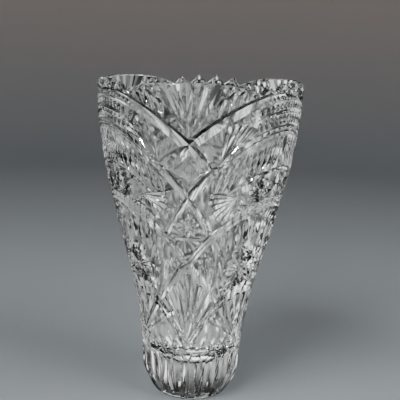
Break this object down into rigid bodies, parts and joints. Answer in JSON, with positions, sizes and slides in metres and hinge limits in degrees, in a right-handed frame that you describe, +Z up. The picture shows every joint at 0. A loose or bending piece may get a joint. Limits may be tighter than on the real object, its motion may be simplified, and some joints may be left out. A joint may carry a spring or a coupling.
{
  "type": "flower vase",
  "caption": "Tall tapered vase of thick clear cut crystal, with a sawtooth scalloped rim, crossing arched mitre cuts round the body and a fluted foot.",
  "frame": {"origin": "on the floor, at the middle of the resting foot, under the vase's own axis", "axes": "+Z up along the vase's axis, out of its mouth; -Y out of the middle of one of the three equal cut panels"},
  "size_m": [0.157, 0.157, 0.25],
  "materials": {
    "clear_crystal": "clear polished cut crystal"
  },
  "bodies": {
    "root": {"glass_vase": "clear_crystal"}
  },
  "joints": []
}
